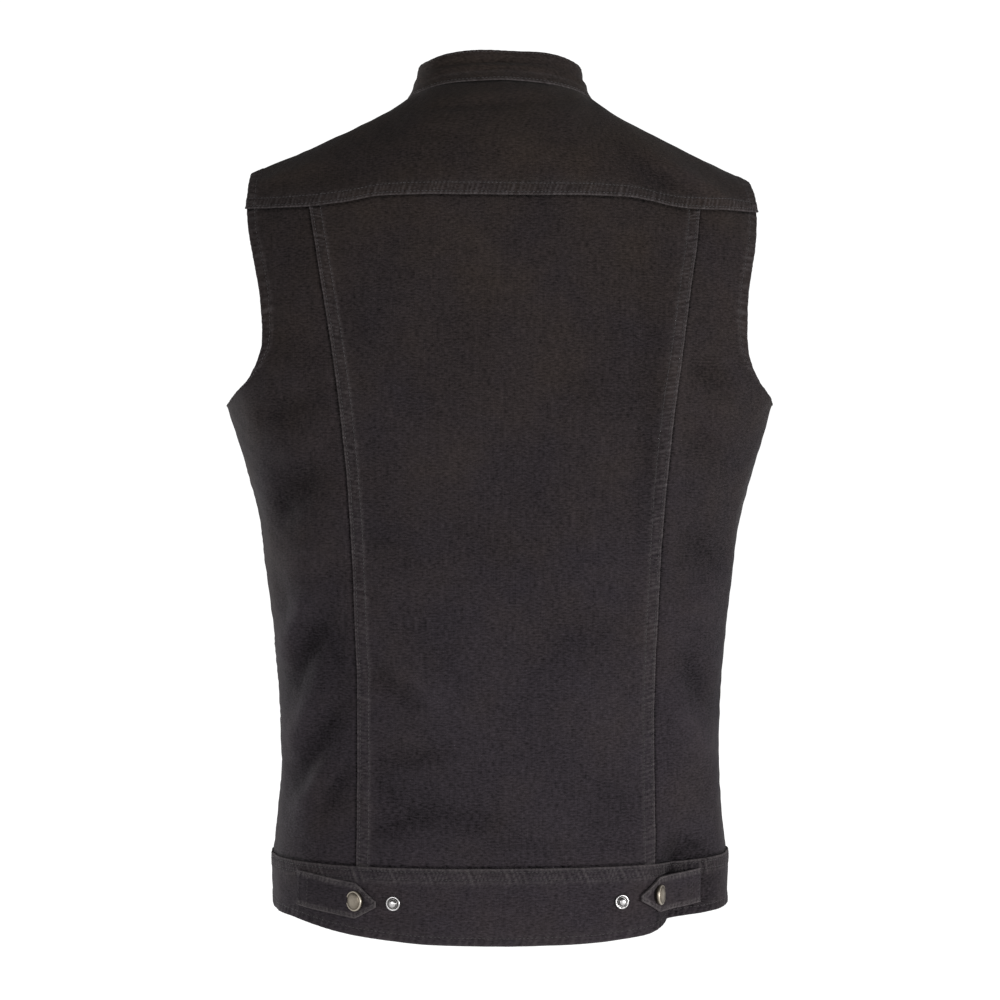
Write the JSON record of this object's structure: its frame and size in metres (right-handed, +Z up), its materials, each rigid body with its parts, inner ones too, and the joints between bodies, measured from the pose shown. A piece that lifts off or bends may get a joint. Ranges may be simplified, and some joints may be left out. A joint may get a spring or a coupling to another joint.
{
  "type": "denim vest",
  "caption": "Sleeveless denim vest in its worn shape, with a yoke, panelled back, stand-up band collar, snap placket and waistband tabs.",
  "frame": {"origin": "the middle of the wearer's shoulders: on the centre line, over the side seams, at mid-shoulder height", "axes": "+Z up, +Y out of the wearer's back, +X to the wearer's left"},
  "size_m": [0.422, 0.2624, 0.672],
  "materials": {
    "denim": "washed black twill",
    "cap": "antique brass, satin",
    "stud": "bright nickel"
  },
  "bodies": {
    "root": {"back_centre": "denim", "back_side_left": "denim", "back_side_right": "denim", "yoke": "denim", "front_left": "denim", "front_right": "denim", "placket": "denim", "waistband": "denim", "collar": "denim", "tab_left": "denim", "tab_right": "denim", "front_snap_1": "cap", "front_snap_2": "cap", "front_snap_3": "cap", "front_snap_4": "cap", "front_snap_5": "cap", "front_snap_6": "cap", "band_snap": "cap", "tab_cap_left": "cap", "tab_cap_right": "cap", "stud_left": "stud", "stud_right": "stud"}
  },
  "joints": []
}
